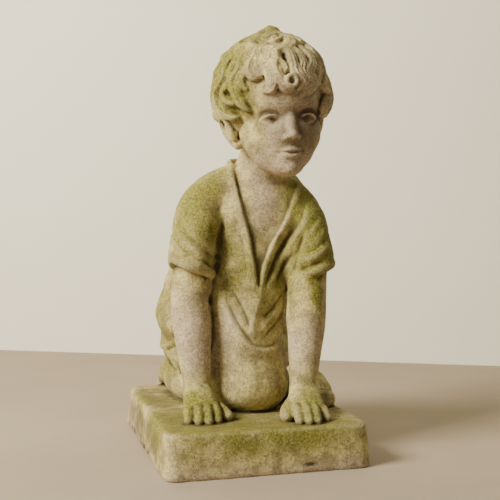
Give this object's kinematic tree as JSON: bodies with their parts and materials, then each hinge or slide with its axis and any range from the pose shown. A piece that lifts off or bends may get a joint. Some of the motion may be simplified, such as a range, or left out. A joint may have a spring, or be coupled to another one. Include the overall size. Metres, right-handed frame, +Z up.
{
  "type": "kneeling child statue",
  "caption": "Cast stone garden statue of a kneeling small child in a loose shirt, leaning on both hands, in one piece with a low rectangular plinth.",
  "frame": {"origin": "centre of the plinth's underside", "axes": "+Z up, the plinth's short front side faces -Y, +X is to the right of someone facing that side"},
  "size_m": [0.262, 0.338, 0.5621],
  "materials": {
    "cast_stone": "weathered, rough, with patches of algae"
  },
  "bodies": {
    "root": {"kneeling_child_statue": "cast_stone"}
  },
  "joints": []
}
